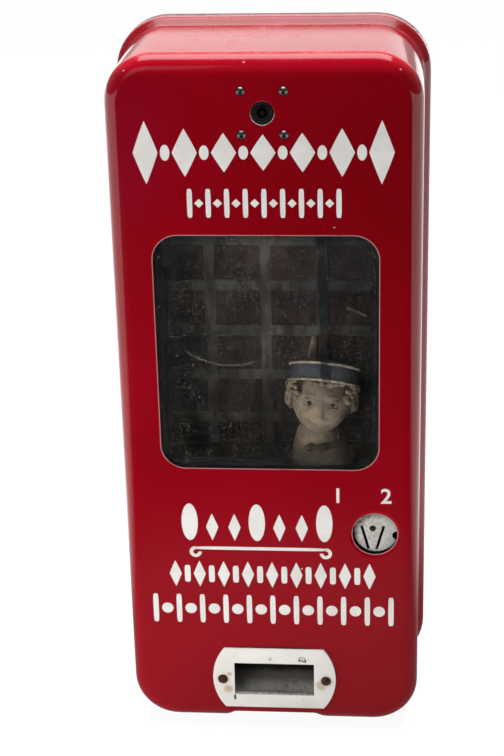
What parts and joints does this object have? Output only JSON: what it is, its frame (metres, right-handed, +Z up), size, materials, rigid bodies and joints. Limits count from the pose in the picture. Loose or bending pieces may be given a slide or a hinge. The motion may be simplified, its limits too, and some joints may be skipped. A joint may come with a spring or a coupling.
{
  "type": "gum vending machine",
  "caption": "Wall-hung vending machine with a tilting enamelled case, a window, coin slots, a delivery mouth, gum columns and a spring movement.",
  "frame": {"origin": "middle of the underside, level with the lower edge of the case's rear rim", "axes": "+Z up, -Y out of the front of the case, +X to the right seen from the front"},
  "size_m": [0.2266, 0.1178, 0.526],
  "materials": {
    "enamel": "glossy red vitreous enamel",
    "pale_enamel": "worn pale enamel",
    "back_steel": "black japanned steel",
    "zinc_steel": "dull zinc-plated steel",
    "dark_steel": "darkened steel",
    "bright_steel": "bright turned steel",
    "brass": "lacquered brass",
    "spring_steel": "blued spring steel",
    "nickel": "stained nickel plate",
    "rust_brown": "rusted steel",
    "glass": "dusty window glass",
    "rubber": "moulded rubber",
    "lock_black": "black lacquer",
    "stage_dark": "dark painted sheet",
    "screen_print": "brown squares with grey bands",
    "figure_tan": "aged tan paint",
    "cap_blue": "dark blue paint with pale piping"
  },
  "bodies": {
    "back": {"back_plate": "back_steel", "hinge_rod": "bright_steel", "movement_plate_rear": "brass", "movement_plate_front": "brass", "movement_pillars": "bright_steel", "pillar_nuts": "brass", "arbor_bushes": "brass", "stage_floor": "stage_dark", "display_screen": "screen_print", "spindle_bracket": "zinc_steel", "column_left": "zinc_steel", "column_right": "zinc_steel", "shelf_brackets": "zinc_steel", "delivery_trough": "zinc_steel", "coin_plate": "nickel", "coin_plate_rivet": "rust_brown", "coin_chute_left": "zinc_steel", "coin_chute_right": "zinc_steel", "coin_chute_bracket": "back_steel", "lock_keeper": "back_steel"},
    "case": {"case_shell": "enamel", "case_feet": "rubber", "case_hooks": "zinc_steel", "window_glass": "glass", "window_frame": "zinc_steel", "window_frame_nuts": "zinc_steel", "mouth_plate": "pale_enamel", "mouth_rivets": "rust_brown", "delivery_scoop": "zinc_steel", "lock_bracket": "zinc_steel", "lock_rivets": "dark_steel", "lock_barrel": "lock_black", "lock_nut": "brass"},
    "lock": {"lock_plug": "lock_black", "lock_cam": "bright_steel"},
    "barrel": {"mainspring_barrel": "brass", "mainspring": "spring_steel", "barrel_cap": "brass"},
    "winding": {"winding_arbor": "bright_steel", "ratchet_wheel": "dark_steel", "winding_key": "brass"},
    "click": {"click": "dark_steel"},
    "second": {"second_arbor": "bright_steel", "second_wheel": "brass", "stop_disc": "bright_steel"},
    "third": {"third_arbor": "bright_steel", "third_wheel": "brass"},
    "governor": {"governor": "bright_steel"},
    "figure": {"figure_spindle": "bright_steel", "crown_wheel": "brass", "figure": "figure_tan", "figure_cap": "cap_blue"},
    "trip": {"trip_lever": "bright_steel"},
    "sector_left": {"sector_left": "brass"},
    "sector_right": {"sector_right": "brass"},
    "ejector_left": {"ejector_left": "bright_steel"},
    "ejector_right": {"ejector_right": "bright_steel"},
    "follower_left": {"follower_left": "dark_steel"},
    "follower_right": {"follower_right": "dark_steel"},
    "cash_box": {"cash_box": "zinc_steel"}
  },
  "joints": [
    {"name": "case_tilt", "type": "hinge", "parent": "back", "child": "case", "pos_m": [0, 0.0524, 0.0043], "axis": [1, 0, 0], "range_deg": [0, 75]},
    {"name": "lock_turn", "type": "hinge", "parent": "case", "child": "lock", "pos_m": [0, -0.0411, 0.4813], "axis": [0, 1, 0], "range_deg": [0, 90]},
    {"name": "barrel_spin", "type": "hinge", "parent": "back", "child": "barrel", "pos_m": [-0.0325, 0.0199, 0.1433], "axis": [0, 1, 0], "continuous": true},
    {"name": "winding_turn", "type": "hinge", "parent": "back", "child": "winding", "pos_m": [-0.0325, 0.0049, 0.1433], "axis": [0, 1, 0], "continuous": true},
    {"name": "click_turn", "type": "hinge", "parent": "back", "child": "click", "pos_m": [-0.058, -0.0021, 0.1613], "axis": [0, 1, 0], "range_deg": [0, 5.2]},
    {"name": "second_spin", "type": "hinge", "parent": "back", "child": "second", "pos_m": [0.00858, 0.0149, 0.13457], "axis": [0, 1, 0], "continuous": true},
    {"name": "third_spin", "type": "hinge", "parent": "back", "child": "third", "pos_m": [0.037, 0.0149, 0.13924], "axis": [0, 1, 0], "continuous": true},
    {"name": "governor_spin", "type": "hinge", "parent": "back", "child": "governor", "pos_m": [0.0478, 0.0149, 0.15795], "axis": [0, 1, 0], "continuous": true},
    {"name": "figure_spin", "type": "hinge", "parent": "back", "child": "figure", "pos_m": [0.037, -0.0191, 0.1553], "axis": [0, 0, 1], "continuous": true},
    {"name": "trip_turn", "type": "hinge", "parent": "back", "child": "trip", "pos_m": [0.03, -0.0041, 0.1093], "axis": [0, -1, 0], "range_deg": [0, 9]},
    {"name": "sector_right_turn", "type": "hinge", "parent": "back", "child": "sector_right", "pos_m": [0.072, 0.0519, 0.126], "axis": [0, 1, 0], "range_deg": [0, 68.4]},
    {"name": "sector_left_turn", "type": "hinge", "parent": "back", "child": "sector_left", "pos_m": [-0.072, 0.0519, 0.126], "axis": [0, -1, 0], "range_deg": [0, 68.4]},
    {"name": "ejector_right_slide", "type": "slide", "parent": "back", "child": "ejector_right", "axis": [-1, 0, 0], "range_m": [0, 0.0216]},
    {"name": "ejector_left_slide", "type": "slide", "parent": "back", "child": "ejector_left", "axis": [1, 0, 0], "range_m": [0, 0.0216]},
    {"name": "follower_right_slide", "type": "slide", "parent": "back", "child": "follower_right", "axis": [0, 0, 1], "range_m": [0, 0.34]},
    {"name": "follower_left_slide", "type": "slide", "parent": "back", "child": "follower_left", "axis": [0, 0, 1], "range_m": [0, 0.34]},
    {"name": "cash_box_lift", "type": "slide", "parent": "back", "child": "cash_box", "axis": [0, 0, 1], "range_m": [0, 0.02]}
  ],
  "couplings": [
    {"joint": "second_spin", "follows": "barrel_spin", "ratio": -4},
    {"joint": "third_spin", "follows": "barrel_spin", "ratio": 12},
    {"joint": "governor_spin", "follows": "barrel_spin", "ratio": -36},
    {"joint": "figure_spin", "follows": "barrel_spin", "ratio": -4},
    {"joint": "ejector_right_slide", "follows": "sector_right_turn", "m_per_rad": 0.018},
    {"joint": "ejector_left_slide", "follows": "sector_left_turn", "m_per_rad": 0.018}
  ]
}
